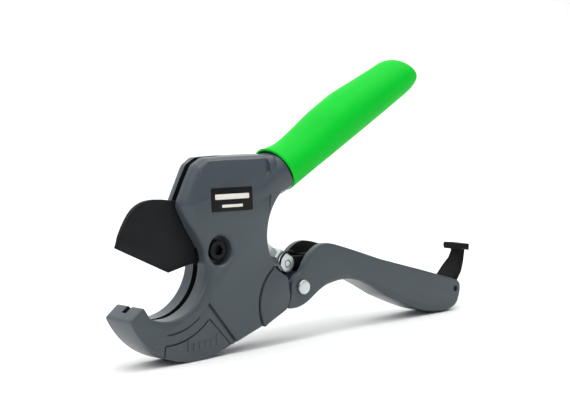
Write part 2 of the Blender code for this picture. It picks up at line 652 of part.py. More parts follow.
LATCH_STATIONS = (
    # x, z, half width in Y, half thickness, from the latch's pin
    (0.8, 0.8, LATCH_BASE_HALF, 1.9), (3.1, 3.4, LATCH_BASE_HALF, 1.9), (7.1, 7.8, 4.9, 1.8),
    (10.1, 11.8, 3.5, 1.7), (11.3, 14.9, 2.8, 1.8), (11.8, 17.0, 2.8, 1.8),
)


def make_latch(material, steel):
    """A T-headed catch: hub, leaning stem that narrows to a neck, and a cross head with a nose."""
    px, pz = LATCH_PIN
    latch = rod("latch", LATCH_PIN, LATCH_HUB_RADIUS, -LATCH_BASE_HALF, LATCH_BASE_HALF, material, sides=24)
    rings = []
    for i, (x, z, half_width, half_thick) in enumerate(LATCH_STATIONS):
        ahead = LATCH_STATIONS[min(i + 1, len(LATCH_STATIONS) - 1)]
        behind = LATCH_STATIONS[max(i - 1, 0)]
        along = Vector((ahead[0] - behind[0], ahead[1] - behind[1])).normalized()
        across = Vector((along.y, -along.x))
        ring = []
        for sx, sy in ((-1, -1), (1, -1), (1, 1), (-1, 1)):
            ring.append((px + x + across.x * sx * half_thick, sy * half_width,
                         pz + z + across.y * sx * half_thick))
        rings.append(ring)
    stem = stack("tool_latch_stem", rings)
    head = [(px + 7.6, pz + 17.0), (px + 9.6, pz + 17.2), (px + 13.6, pz + 16.2), (px + 13.9, pz + 19.2),
            (px + 7.9, pz + 20.0), (px + 7.2, pz + 18.8)]
    head_solid = prism("tool_latch_head", head, -LATCH_HEAD_HALF, LATCH_HEAD_HALF, bevel=0.4)
    combine(latch, [stem, head_solid], "UNION")
    bore = rod("tool_latch_hole", LATCH_PIN, LATCH_PIN_RADIUS + GAP, -10, 10, sides=20)
    combine(latch, [bore], "DIFFERENCE")
    reach = HANDLE_HALF - 0.5
    pin = rod("latch_pin", LATCH_PIN, LATCH_PIN_RADIUS, -reach, reach, steel, sides=20)
    return latch, pin, [stem, head_solid, bore]


# ---------------------------------------------------------------- the whole tool

def adopt(parent, axis_point, objects):
    """Parents objects whose meshes are in the tool's own coordinates to an empty."""
    for obj in objects:
        obj.parent = parent
        obj.location = (-axis_point[0] * MM, 0.0, -axis_point[1] * MM)


def center_under_tool(root, pieces):
    """Moves the root so that the origin lies under the middle of all pieces."""
    bpy.context.view_layer.update()
    graph = bpy.context.evaluated_depsgraph_get()
    corners = []
    for piece in pieces:
        shape = piece.evaluated_get(graph)
        corners += [shape.matrix_world @ vertex.co for vertex in shape.data.vertices]
    low = [min(corner[i] for corner in corners) for i in range(3)]
    high = [max(corner[i] for corner in corners) for i in range(3)]
    root.location = (-(low[0] + high[0]) / 2, -(low[1] + high[1]) / 2, -low[2])


def main():
    for obj in list(bpy.data.objects):
        bpy.data.objects.remove(obj, do_unlink=True)

    painted = paint("slate_painted_casting", (0.115, 0.135, 0.145), 0.45, 0.2)
    green = paint("green_soft_grip", (0.0, 0.68, 0.045), 0.5, 0.0)
    coated = paint("black_coated_steel", (0.018, 0.021, 0.026), 0.5, 0.3)
    black = paint("black_oxide_steel", (0.02, 0.02, 0.022), 0.4, 0.8)
    zinc = paint("zinc_plated_steel", (0.6, 0.63, 0.64), 0.35, 1.0)
    plastic = paint("black_plastic", (0.02, 0.02, 0.021), 0.5, 0.0)
    plate_black = paint("black_plate", (0.012, 0.013, 0.015), 0.4, 0.0)

    root = bpy.data.objects.new("tool_root", None)
    bpy.context.scene.collection.objects.link(root)

    frame, frame_tools = make_frame(painted)
    grip, grip_tools = make_grip(green)
    plate = prism("name_plate", plate_outline(0.0), -FRAME_HALF - 0.05, -FRAME_HALF + PLATE_THICKNESS - 0.05,
                  plate_black)
    blade, blade_tools = make_blade(coated)
    pivot_pieces, pivot_tools = make_blade_pivot(zinc, black)
    lever, lever_tools = make_lever(painted)
    handle_pieces, handle_tools = make_handle_pivot(zinc, black)
    drive, drive_pin, drive_spring, drive_tools = make_drive_pawl(zinc, black)
    hold, hold_pin, hold_spring, hold_tools = make_holding_pawl(zinc, black)
    latch, latch_pin, latch_tools = make_latch(plastic, black)

    zero = (0.0, 0.0)
    fixed = [frame, grip, plate, hold_pin, hold_spring] + pivot_pieces + handle_pieces
    adopt(root, zero, fixed + frame_tools + grip_tools + pivot_tools + handle_tools)
    adopt(axis_empty("blade_axis", zero, root), zero, [blade] + blade_tools)
    adopt(axis_empty("lever_axis", HANDLE_PIVOT, root), HANDLE_PIVOT,
          [lever, drive_pin, drive_spring, latch_pin] + lever_tools)
    adopt(axis_empty("drive_pawl_axis", DRIVE_PIN, root), DRIVE_PIN, [drive] + drive_tools)
    adopt(axis_empty("holding_pawl_axis", HOLD_PIN, root), HOLD_PIN, [hold] + hold_tools)
    adopt(axis_empty("latch_axis", LATCH_PIN, root), LATCH_PIN, [latch] + latch_tools)

    moving = [blade, lever, drive_pin, drive_spring, latch_pin, drive, hold, latch]
    center_under_tool(root, fixed + moving)


main()
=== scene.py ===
"""Ratchet cutter for plastic pipe, in its finished looks, on a pale studio floor."""
import json
import math

import bmesh
import bpy
import numpy as np
from mathutils import Matrix, Vector


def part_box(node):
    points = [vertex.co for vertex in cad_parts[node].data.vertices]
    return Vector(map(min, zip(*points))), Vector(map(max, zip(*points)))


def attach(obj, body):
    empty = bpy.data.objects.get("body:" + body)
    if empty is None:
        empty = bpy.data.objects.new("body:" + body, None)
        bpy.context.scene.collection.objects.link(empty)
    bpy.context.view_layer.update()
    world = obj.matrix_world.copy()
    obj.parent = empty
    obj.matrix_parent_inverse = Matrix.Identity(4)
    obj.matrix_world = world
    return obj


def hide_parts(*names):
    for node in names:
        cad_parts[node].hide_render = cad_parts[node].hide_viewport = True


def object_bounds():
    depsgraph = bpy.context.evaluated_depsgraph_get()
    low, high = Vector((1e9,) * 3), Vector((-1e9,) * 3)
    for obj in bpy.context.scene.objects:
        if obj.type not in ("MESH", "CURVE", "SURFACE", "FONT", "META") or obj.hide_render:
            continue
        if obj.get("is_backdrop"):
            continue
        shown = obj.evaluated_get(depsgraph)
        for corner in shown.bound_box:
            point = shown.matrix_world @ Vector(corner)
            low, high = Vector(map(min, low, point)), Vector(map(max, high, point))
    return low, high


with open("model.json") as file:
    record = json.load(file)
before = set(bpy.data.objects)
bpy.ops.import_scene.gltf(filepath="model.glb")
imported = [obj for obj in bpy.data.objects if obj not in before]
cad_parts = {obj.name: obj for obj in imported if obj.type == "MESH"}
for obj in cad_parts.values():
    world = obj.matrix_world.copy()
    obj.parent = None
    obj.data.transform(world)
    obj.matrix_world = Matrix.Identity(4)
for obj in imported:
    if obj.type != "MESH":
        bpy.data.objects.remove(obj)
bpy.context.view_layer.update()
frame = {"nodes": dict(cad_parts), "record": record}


# ------------------------------------------------------------------------------------------
# Frame casting: hooked jaw, slotted body, knuckle and neck in one pressure die casting of
# aluminium, deburred, shot-blasted and powder-coated in slate grey, with a satin skin.
# ------------------------------------------------------------------------------------------
MM = 0.001
JOINTS = {joint["name"]: joint for joint in frame["record"]["behaviour"]["joints"]}
PIVOT = np.array(JOINTS["blade_pivot"]["pos_m"])


def from_pivot(name):
    """A joint's place in millimetres from the blade's pivot, as (x, z)."""
    offset = (np.array(JOINTS[name]["pos_m"]) - PIVOT) / MM
    return np.array([offset[0], offset[2]])


LEVER_PIVOT = from_pivot("lever_pivot")
DRIVE_PIN = from_pivot("drive_pawl_swing")
LATCH_PIN = from_pivot("latch_hinge")


def linear(color):
    """An sRGB hex colour as linear red, green, blue and alpha."""
    values = [int(color[i:i + 2], 16) / 255 for i in (1, 3, 5)]
    return [v / 12.92 if v <= 0.04045 else ((v + 0.055) / 1.055) ** 2.4 for v in values] + [1.0]


def node(tree, kind, settings=None, links=None, **values):
    """Adds a node, sets its properties and sockets, and links sockets to other nodes' outputs."""
    new = tree.nodes.new(kind)
    for key, value in (settings or {}).items():
        setattr(new, key, value)
    for key, value in values.items():
        new.inputs[key.replace("_", " ")].default_value = value
    for key, source in (links or {}).items():
        tree.links.new(source, new.inputs[key])
    return new


def finish(name, base, rough, metal=0.0, mottle=0.1, mottle_mm=6.0, grain_mm=0.35, grain_depth_mm=0.01,
           rough_spread=0.06, stretch=(1.0, 1.0, 1.0), fleck=0.0, shine=0.5):
    """A painted, moulded or plated surface.

    The colour drifts by the mottle over patches of mottle_mm, and by the fleck over the grain. The
    grain is two octaves of noise, grain_mm across and grain_depth_mm deep, as a bump. The
    roughness follows a middle-sized noise, up and down by rough_spread.
    """
    material = bpy.data.materials.new(name)
    material.use_nodes = True
    tree = material.node_tree
    tree.nodes.clear()
    place = node(tree, "ShaderNodeTexCoord")
    mapping = node(tree, "ShaderNodeMapping", links={"Vector": place.outputs["Object"]}, Scale=stretch)
    where = mapping.outputs["Vector"]
    patches = node(tree, "ShaderNodeTexNoise", links={"Vector": where}, Scale=1000 / mottle_mm, Detail=3.0)
    ramp = node(tree, "ShaderNodeValToRGB", links={"Fac": patches.outputs["Fac"]})
    for stop, position, change in zip(ramp.color_ramp.elements, (0.3, 0.7), (-mottle, mottle)):
        stop.position = position
        stop.color = [min(1.0, c * (1 + change)) for c in linear(base)[:3]] + [1.0]
    color = ramp.outputs["Color"]
    grain = node(tree, "ShaderNodeTexNoise", links={"Vector": where}, Scale=1000 / grain_mm, Detail=2.0)
    if fleck:
        speck = node(tree, "ShaderNodeMapRange", links={"Value": grain.outputs["Fac"]},
                     From_Min=0.35, From_Max=0.75, To_Min=1.0 - fleck, To_Max=1.0 + fleck)
        shade = node(tree, "ShaderNodeVectorMath", {"operation": "SCALE"},
                     {0: color, "Scale": speck.outputs["Result"]})
        color = shade.outputs["Vector"]
    wear = node(tree, "ShaderNodeTexNoise", links={"Vector": where}, Scale=1000 / (mottle_mm * 0.4),
                Detail=4.0)
    gloss = node(tree, "ShaderNodeMapRange", links={"Value": wear.outputs["Fac"]}, From_Min=0.3,
                 From_Max=0.7, To_Min=rough - rough_spread, To_Max=rough + rough_spread)
    bump = node(tree, "ShaderNodeBump", links={"Height": grain.outputs["Fac"]}, Strength=1.0,
                Distance=grain_depth_mm * MM)
    shader = node(tree, "ShaderNodeBsdfPrincipled", links={
        "Base Color": color, "Roughness": gloss.outputs["Result"], "Normal": bump.outputs["Normal"]},
        Metallic=metal, Specular_IOR_Level=shine)
    node(tree, "ShaderNodeOutputMaterial", links={"Surface": shader.outputs["BSDF"]})
    return material


def put(name, points, faces, material, sharp=30.0):
    """A mesh object from points in millimetres from the blade's pivot and a list of faces."""
    mesh = bpy.data.meshes.new(name)
    world = np.asarray(points, dtype=float) * MM + PIVOT
    mesh.from_pydata(world.tolist(), [], faces)
    mesh.validate()
    shape = bmesh.new()
    shape.from_mesh(mesh)
    bmesh.ops.remove_doubles(shape, verts=shape.verts, dist=1e-7)
    bmesh.ops.recalc_face_normals(shape, faces=shape.faces)
    shape.to_mesh(mesh)
    shape.free()
    mesh.shade_smooth()
    mesh.set_sharp_from_angle(angle=math.radians(sharp))
    obj = bpy.data.objects.new(name, mesh)
    bpy.context.scene.collection.objects.link(obj)
    if material:
        mesh.materials.append(material)
    return obj


def skin(rings):
    """Faces of a stack of closed rings: quads between neighbours, and a cap at both ends."""
    levels, count = rings.shape[:2]
    index = np.arange(levels * count).reshape(levels, count)
    turned = np.roll(index, -1, axis=1)
    quads = np.stack([index[:-1], turned[:-1], turned[1:], index[1:]], axis=-1).reshape(-1, 4)
    return quads.tolist() + [index[0][::-1].tolist(), index[-1].tolist()]


def arc(center, radius, start, end, step=2.5):
    """Points on an arc, about one for every few degrees."""
    count = max(2, int(abs(end - start) / step))
    angle = np.radians(np.linspace(start, end, count + 1))
    return np.stack([center[0] + radius * np.cos(angle), center[1] + radius * np.sin(angle)], axis=1)


def inset(outline, widths):
    """Each corner of a counter-clockwise outline moved inwards by its own width."""
    before = outline - np.roll(outline, 1, axis=0)
    after = np.roll(outline, -1, axis=0) - outline
    before /= np.linalg.norm(before, axis=1)[:, None]
    after /= np.linalg.norm(after, axis=1)[:, None]
    along = before + after
    along /= np.linalg.norm(along, axis=1)[:, None]
    inward = np.stack([-along[:, 1], along[:, 0]], axis=1)
    square = inward[:, 0] * -before[:, 1] + inward[:, 1] * before[:, 0]
    return outline + inward * (widths / np.maximum(0.6, square))[:, None]


def dense(columns, spacing=0.6, soften=0.7):
    """A closed polyline resampled evenly, its corners softened by a Gaussian in arc length.

    The first two columns are the outline; the others are carried along with it.
    """
    closed = np.vstack([columns, columns[:1]])
    run = np.concatenate([[0], np.cumsum(np.linalg.norm(np.diff(closed[:, :2], axis=0), axis=1))])
    count = int(run[-1] / spacing)
    at = np.arange(count) * run[-1] / count
    fine = np.stack([np.interp(at, run, closed[:, k]) for k in range(columns.shape[1])], axis=1)
    if soften:
        reach = int(3 * soften / spacing) + 1
        weights = np.exp(-0.5 * (np.arange(-reach, reach + 1) * spacing / soften) ** 2)
        weights /= weights.sum()
        padded = np.vstack([fine[-reach:], fine, fine[:reach]])
        fine = np.stack([np.convolve(padded[:, k], weights, "valid") for k in range(fine.shape[1])], axis=1)
    return fine


def slab_rings(controls, half, steps=6, spacing=0.6, soften=0.7, deepest=6.0, sweep=90.0):
    """Rings of a slab with rounded rims.

    controls holds x, z and the rounding's width at each point. Along the sweep of a quarter
    ellipse from the side wall, the ring at angle t lies inwards by width (1 - cos t) and out at
    y = half - depth (1 - sin t), both divided by their values at the sweep's end. A sweep under
    90 degrees leaves a crisp line against the face.
    """
    controls = np.asarray(controls, dtype=float)
    inner = inset(controls[:, :2], controls[:, 2])
    fine = dense(np.hstack([controls, inner]), spacing, soften)
    outer, width, inner = fine[:, :2], fine[:, 2], fine[:, 3:5]
    depth = np.minimum(width, deepest)
    last = math.radians(sweep)
    turns = np.linspace(0, last, steps + 1)
    rings = []
    for side in (-1, 1):
        for t in (turns[::-1] if side < 0 else turns):
            share = (1 - math.cos(t)) / (1 - math.cos(last))
            flat = inner * share + outer * (1 - share)
            y = side * (half - depth * (1 - math.sin(t) / math.sin(last)))
            rings.append(np.stack([flat[:, 0], y, flat[:, 1]], axis=1))
    return np.array(rings)


def slab(name, controls, half, material, **shape):
    """A rounded slab as an object."""
    rings = slab_rings(controls, half, **shape)
    return put(name, rings.reshape(-1, 3), skin(rings), material)


def prism(name, outline, low, high, material=None, sharp=30.0):
    """A plain prism along Y through an XZ outline."""
    outline = np.asarray(outline, dtype=float)
    rings = np.array([np.stack([outline[:, 0], np.full(len(outline), y), outline[:, 1]], axis=1)
                      for y in (low, high)])
    return put(name, rings.reshape(-1, 3), skin(rings), material, sharp)


def disc(center, radius, count=64):
    """A circle's points."""
    angle = 2 * math.pi * np.arange(count) / count
    return np.stack([center[0] + radius * np.cos(angle), center[1] + radius * np.sin(angle)], axis=1)


def cut(target, tools, operation="DIFFERENCE", sharp=30.0):
    """Applies exact booleans to a piece and deletes the tools, whose faces keep their material."""
    for tool in tools:
        modifier = target.modifiers.new(tool.name, "BOOLEAN")
        modifier.operation = operation
        modifier.solver = "EXACT"
        modifier.material_mode = "TRANSFER"
        modifier.object = tool
    graph = bpy.context.evaluated_depsgraph_get()
    mesh = bpy.data.meshes.new_from_object(target.evaluated_get(graph))
    target.modifiers.clear()
    target.data = mesh
    for tool in tools:
        bpy.data.objects.remove(tool, do_unlink=True)
    mesh.shade_smooth()
    mesh.set_sharp_from_angle(angle=math.radians(sharp))


def crisp_folds(target, least_angle=1.5, least_area=12.0):
    """Marks the edges where two broad flats meet at a small angle, so each is shaded flat."""
    shape = bmesh.new()
    shape.from_mesh(target.data)
    for edge in shape.edges:
        if len(edge.link_faces) == 2:
            areas = [face.calc_area() / MM ** 2 for face in edge.link_faces]
            if min(areas) > least_area and edge.calc_face_angle() > math.radians(least_angle):
                edge.smooth = False
    shape.to_mesh(target.data)
    shape.free()


def round_off(target, width, angle, segments=2):
    """A Bevel modifier of a width in millimetres on the edges sharper than the angle."""
    bevel = target.modifiers.new("edge_rounding", "BEVEL")
    bevel.width = width * MM
    bevel.segments = segments
    bevel.limit_method = "ANGLE"
    bevel.angle_limit = math.radians(angle)
    bevel.harden_normals = True


def soften_edges(target, angle, width=0.3):
    """A small rounding on every edge sharper than the angle, as blasting and paint leave it."""
    shape = bmesh.new()
    shape.from_mesh(target.data)
    bmesh.ops.remove_doubles(shape, verts=shape.verts, dist=2e-6)
    bmesh.ops.dissolve_limit(shape, angle_limit=math.radians(0.4), verts=shape.verts, edges=shape.edges)
    shape.to_mesh(target.data)
    shape.free()
    crisp_folds(target)
    round_off(target, width, angle)


# Powder coat over a blasted casting: satin, with a faint orange peel under the gloss.
PAINT = finish("powder-coated die-cast aluminium", "#454E54", 0.29, shine=0.32, mottle=0.025,
               mottle_mm=18, grain_mm=0.8, grain_depth_mm=0.005, rough_spread=0.015, fleck=0.02)

# Slot, pocket, washer room, bores and the lever's channel: bare casting, dull with graphite grease, and
# coloured dark as painted shade for these hollows.
GREASE_AND_PAINTED_SHADE = finish("greased casting with painted shade", "#16191B", 0.5, metal=0.1, mottle=0.25, mottle_mm=3,
                 grain_mm=0.5, grain_depth_mm=0.02, rough_spread=0.1, shine=0.3)

SEAT_CENTER = np.array([-28.4, -4.4])
SEAT_RADIUS = 21.5
JAW_BACK = np.array([-14.9, -7.6])
JAW_BACK_RADIUS = 37.2
WAIST = np.array([50.6, 2.4])
WAIST_RADIUS = 24.0
FRAME_HALF = 9.0
KNUCKLE_HALF = 9.6
SLOT_HALF = 1.5
LUG_HALF = 2.8
LUG_RADIUS = 6.3
GRIP_CORNER = np.array([43.65, 19.73])
GRIP_TURN = math.radians(27.1)
GRIP_ALONG = np.array([math.cos(GRIP_TURN), math.sin(GRIP_TURN)])
GRIP_UP = np.array([-math.sin(GRIP_TURN), math.cos(GRIP_TURN)])


def on_grip(along, up):
    """A point from the grip's lower rim corner, along it and square to it."""
    return GRIP_CORNER + GRIP_ALONG * along + GRIP_UP * up


def widths(points, width):
    """Adds the same rounding width to each point of a stretch."""
    points = np.atleast_2d(points)
    return np.hstack([points, np.full((len(points), 1), width)])


def gap_edge():
    """The frame's edge beside the lever's cheeks, from the bottom up.

    It runs close to them at the bottom and leaves a wedge that widens towards the top.
    """
    return LEVER_PIVOT + np.array([[-9.9, -8.7], [-8.0, -5.6], [-7.5, -3.0], [-8.0, 1.0], [-8.4, 5.2]])


def flare(points):
    """Widths round the seat: wide under the nose, falling as a cosine to a thin rim at the jaw."""
    share = np.minimum(1, np.linspace(0, 1, len(points)) * 1.35)
    thin_rim, extra = 1.0, 2.1
    return np.hstack([points, (thin_rim + extra * (1 + np.cos(math.pi * share)) / 2)[:, None]])


# The frame's outline from the jaw's back round to its tip, with the rounding's width at each point.
FRAME_CONTROLS = np.vstack([
    widths(arc(JAW_BACK, JAW_BACK_RADIUS, 205, 285), 1.1),
    widths([[7.5, -39.9], [22.9, -35.0]], 1.1),
    widths(gap_edge(), 0.5),
    widths([[34.6, -14.2], [31.4, -12.2]], 0.8),
    widths(arc(WAIST, WAIST_RADIUS, 214, 116), 1.5),
    widths(on_grip(-2.0, 15.5), 2.5),
    widths([[33.5, 37.1]], 4.0),
    widths([[20.0, 38.0], [6.0, 38.7], [-4.0, 38.9]], 5.0),
    widths([[-9.2, 36.3]], 6.0),
    widths([[-12.8, 30.3], [-17.2, 22.2]], 7.5),
    widths([[-17.9, 19.8]], 7.0),
    widths([[-13.2, 10.3]], 3.4),
    widths([[-9.4, 4.4]], 3.4),
    flare(arc(SEAT_CENTER, SEAT_RADIUS, 12, -117)),
    widths([[-41.5, -18.4]], 0.7),
])

body = slab("cutter_frame", FRAME_CONTROLS, FRAME_HALF, PAINT, steps=8, deepest=6.2, sweep=66.0)

KNUCKLE = np.array([39.0, -27.0])
KNUCKLE_RADIUS = 18.6
knuckle_ring = np.vstack([
    widths(arc(KNUCKLE, KNUCKLE_RADIUS, 122, 208), 0.5), widths([[24.9, -34.4]], 0.6),
    widths(gap_edge(), 0.5), widths([[34.6, -14.5]], 0.6)])
knuckle = slab("tool_knuckle", knuckle_ring, KNUCKLE_HALF, PAINT, steps=3, soften=0.3)
LUG_ROOT = [[32.0, -15.0], [32.0, -26.0]]
lug = prism("tool_lug", np.vstack([arc(LEVER_PIVOT, LUG_RADIUS, -120, 100), LUG_ROOT]), -LUG_HALF, LUG_HALF,
            PAINT)


def oval(along, up, a, b, count=72, square=2.0):
    """A ring across the grip: a superellipse with half height a and half width b."""
    t = 2 * math.pi * np.arange(count) / count
    c, s = np.cos(t), np.sin(t)
    wide = b * np.sign(c) * np.abs(c) ** (2 / square)
    high = a * np.sign(s) * np.abs(s) ** (2 / square)
    flat = on_grip(along, up)[None, :] + GRIP_UP[None, :] * high[:, None]
    return np.stack([flat[:, 0], wide, flat[:, 1]], axis=1)


# Each row holds the place along the grip, the middle's height, the half height and the half width.
NECK_STATIONS = np.array([[-24, 9.5, 5.0, 6.6], [-18, 10.2, 6.6, 8.2], [-13, 10.7, 7.7, 9.2],
                          [-9, 10.9, 8.4, 9.8], [-5, 10.9, 8.9, 10.3], [-2, 10.9, 9.2, 10.55],
                          [-0.3, 10.9, 9.3, 10.6]])
NECK_RINGS = 34
at = np.linspace(NECK_STATIONS[0, 0], NECK_STATIONS[-1, 0], NECK_RINGS)
neck_rows = np.stack([np.interp(at, NECK_STATIONS[:, 0], column) for column in NECK_STATIONS.T], axis=1)
neck_rings = np.array([oval(*row, square=2.3) for row in neck_rows])
neck = put("tool_neck", neck_rings.reshape(-1, 3), skin(neck_rings), PAINT)
TANG_START, TANG_END = -14, 60
TANG_LOW, TANG_HIGH = 5.6, 15.6
TANG_HALF = 5
tang = prism("tool_tang", [on_grip(TANG_START, TANG_LOW), on_grip(TANG_END, TANG_LOW),
                           on_grip(TANG_END, TANG_HIGH), on_grip(TANG_START, TANG_HIGH)],
             -TANG_HALF, TANG_HALF, PAINT)

BLADE_TIP = np.array([-48.6, 5.9])
TIP_ROOM = 0.9
SECTOR_ROOM_RADIUS = 24.6


def slot_edge():
    """The space that the blade sweeps and the room for both pawls, as an outline."""
    reach = math.hypot(*BLADE_TIP) + TIP_ROOM
    return np.vstack([
        arc([0, 0], reach, 190, 220.6), [[-10.26, -21.8]], arc([0, 0], SECTOR_ROOM_RADIUS, 260, 322),
        [[30.0, -14.2], [46.0, -14.2], [46.0, 7.0], [24.2, 7.0], [27.0, 12.2], [27.2, 15.6], [25.8, 20.6],
         [22.8, 24.8], [17.6, 25.4], [12.4, 24.6], [9.0, 33.0], [7.4, 45.0], [-70.0, 45.0], [-70.0, -8.0]]])


BEYOND = 20.0                   # a cutter's end, well outside the casting


def slanted(name, outline, side, depth):
    """A cutter over an outline: its flat lies depth(x, z) millimetres under the frame's face."""
    outline = np.asarray(outline, dtype=float)
    low = side * (FRAME_HALF - depth(outline[:, 0], outline[:, 1]))
    rings = np.array([np.stack([outline[:, 0], y, outline[:, 1]], axis=1)
                      for y in (low, np.full(len(outline), side * BEYOND))])
    return put("%s_%s" % (name, "far" if side > 0 else "near"), rings.reshape(-1, 3), skin(rings), PAINT)


def ribbon(path, width):
    """A polyline widened to a closed strip."""
    path = np.asarray(path, dtype=float)
    along = np.gradient(path, axis=0)
    along /= np.linalg.norm(along, axis=1)[:, None]
    square = np.stack([-along[:, 1], along[:, 0]], axis=1) * width / 2
    return np.vstack([path + square, (path - square)[::-1]])


CREASE = np.array([[-34.0, 6.45], [27.5, 12.4]])
LEAN = math.tan(math.radians(4.2))
PANEL_RADIUS = 31.7
LIP_RADIUS = 26.9
DIAGONAL = np.array([[-7.3, -21.0], [7.7, -40.1]])


def crease_depth(x, z):
    """How far the leaning upper face lies under the flat one: height over the crease by the lean."""
    slope = (CREASE[1, 1] - CREASE[0, 1]) / (CREASE[1, 0] - CREASE[0, 0])
    return (z - CREASE[0, 1] - slope * (x - CREASE[0, 0])) * LEAN


def jaw_depth(x, z):
    """The jaw's face sinks evenly from nothing near the tip to its full depth at the slanting step."""
    fade_start, fade_length, step = -38.0, 30.0, 0.75
    return step * np.clip((x - fade_start) / fade_length, 0.0, 1.1)


def groove(depth):
    """A depth that is the same all along a line."""
    return lambda x, z: np.full(len(x), depth)


# The scored lines on each face: name, path, width and depth.
FACE_LINES = (
    ("tool_knuckle_line", arc(KNUCKLE, KNUCKLE_RADIUS + 0.45, 116, 214), 1.0, 1.3),
    ("tool_step_line", DIAGONAL + np.array([-0.45, -0.35]), 1.0, 1.5),
    ("tool_lip_line", arc(SEAT_CENTER, LIP_RADIUS + 0.3, 266, 306, 3), 0.8, 1.0),
    ("tool_panel_line", np.vstack([[[-32.2, -43.5], [-31.2, -36.6]],
                                   arc(SEAT_CENTER, PANEL_RADIUS, 266, 312, 3), [[6.2, -43.0]]]), 0.75, 1.3))

face_tools = []
for side in (-1, 1):
    upper = np.vstack([CREASE, [[29.5, 26.0], [27.0, 45.0], [-34.0, 45.0]]])
    face_tools.append(slanted("tool_lean", upper, side, crease_depth))
    jaw = np.vstack([[[-60.0, -60.0], [23.0, -60.0]], DIAGONAL[::-1],
                     arc(SEAT_CENTER, LIP_RADIUS, 321, 262, 3), [[-36.0, -30.0], [-60.0, -20.0]]])
    face_tools.append(slanted("tool_jaw", jaw, side, jaw_depth))
    for name, path, width, depth in FACE_LINES:
        face_tools.append(slanted(name, ribbon(path, width), side, groove(depth)))


def hexagon(across):
    """Six corners round the blade's pivot."""
    angle = np.radians(np.arange(6) * 60)
    return across / 2 / math.cos(math.radians(30)) * np.stack([np.cos(angle), np.sin(angle)], axis=1)


def turned(name, center, profile, material, count=96, sharp=30.0):
    """A turned solid: a circle round an axis along Y at each radius and y of the profile."""
    rings = []
    for radius, y in profile:
        circle = disc(center, radius, count)
        rings.append(np.stack([circle[:, 0], np.full(count, y), circle[:, 1]], axis=1))
    rings = np.array(rings)
    return put(name, rings.reshape(-1, 3), skin(rings), material, sharp)


POCKET_RADII = (6.8, 21.0)      # the drive pawl's room round the lever's pivot
POCKET_SPAN = (-6.1, 5.1)
WASHER_ROOM_RADIUS = 8.3
WASHER_ROOM_HALF = 2.5
BOLT_BORE_RADIUS = 3.15
COUNTERBORE = ((6.3, -4.0), (6.3, -8.2), (7.1, -9.0), (18.1, -BEYOND))
NUT_POCKET_WIDTH = 10.6
NUT_SEAT = 5.0
LUG_BORE_RADIUS = 4.2
pocket = np.vstack([arc(LEVER_PIVOT, POCKET_RADII[0], 182, 60), arc(LEVER_PIVOT, POCKET_RADII[1], 60, 182)])
cut(body, face_tools)
cut(body, [knuckle, lug, neck, tang], "UNION")
# The walls of the slot, the pocket, the washer room and the bores take the dark casting colour, which paints
# the shade inside them.
cut(body, [
    prism("tool_slot", slot_edge(), -SLOT_HALF, SLOT_HALF, GREASE_AND_PAINTED_SHADE),
    prism("tool_pocket", pocket, *POCKET_SPAN, GREASE_AND_PAINTED_SHADE),
    prism("tool_washer_room", disc([0, 0], WASHER_ROOM_RADIUS), -WASHER_ROOM_HALF, WASHER_ROOM_HALF, GREASE_AND_PAINTED_SHADE),
    prism("tool_bolt_bore", disc([0, 0], BOLT_BORE_RADIUS), -BEYOND, BEYOND, GREASE_AND_PAINTED_SHADE),
    turned("tool_counterbore", (0, 0), COUNTERBORE, PAINT),
    prism("tool_nut_pocket", hexagon(NUT_POCKET_WIDTH), NUT_SEAT, BEYOND, PAINT),
    prism("tool_lug_bore", disc(LEVER_PIVOT, LUG_BORE_RADIUS), -BEYOND, BEYOND, GREASE_AND_PAINTED_SHADE),
], sharp=24)
soften_edges(body, 34)
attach(body, "frame")
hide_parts("frame_casting")


# ------------------------------------------------------------------------------------------
# Size mark on the jaw: a row of plain raised ridges in the outlined field, cast with the
# frame and painted over. It stands where such tools state the largest pipe.
# ------------------------------------------------------------------------------------------
RIDGE_COUNT = 6
RIDGE_PITCH = 3.1
RIDGE_WIDTH = 1.3
RIDGE_HALF = 0.5
RIDGE_RISE = 0.4
FIRST_RIDGE = np.array([-19.5, -40.2])


def joined(name, stacks, material):
    """One object of several stacks of rings."""
    points, faces = [], []
    for rings in stacks:
        start = sum(len(part) for part in points)
        points.append(rings.reshape(-1, 3))
        faces += [[corner + start for corner in face] for face in skin(rings)]
    return put(name, np.vstack(points), faces, material)


ridge_stacks = []
for number in range(RIDGE_COUNT):
    x, z = FIRST_RIDGE + np.array([RIDGE_PITCH, 0.13]) * number
    height = 4.6 if number in (0, RIDGE_COUNT - 1) else 3.2
    foot = widths([[x, z], [x + RIDGE_WIDTH, z], [x + RIDGE_WIDTH, z + height], [x, z + height]], 0.25)
    rings = slab_rings(foot, RIDGE_HALF, steps=2, spacing=0.3, soften=0.12, deepest=0.3)
    rings[..., 1] -= FRAME_HALF + RIDGE_RISE - RIDGE_HALF - jaw_depth(rings[..., 0], rings[..., 2])
    ridge_stacks.append(rings)
ridges = joined("size_ridges", ridge_stacks, PAINT)
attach(ridges, "frame")


# ------------------------------------------------------------------------------------------
# Name plate: a black anodised tag in a shallow bed on the near face. It carries two plain
# printed bars in place of lettering.
# ------------------------------------------------------------------------------------------
# Black anodising: deep and even, with a low sheen.
PLATE_BLACK = finish("black anodised aluminium tag", "#0C0D0F", 0.42, mottle=0.06, mottle_mm=5, grain_mm=0.25,
                     grain_depth_mm=0.003, rough_spread=0.03, shine=0.2)
# Screen-printing ink: a thin, chalky off-white.
PRINT = finish("off-white screen print", "#E6E4DC", 0.5, mottle=0.04, mottle_mm=2, grain_mm=0.2,
               grain_depth_mm=0.003)
PLATE_CENTER = np.array([7.4, 20.8])
PLATE_TURN = math.radians(-3.0)
PLATE_HALF = (11.2, 5.0)
PLATE_BED = 0.12
INK_MIDDLE = 0.235
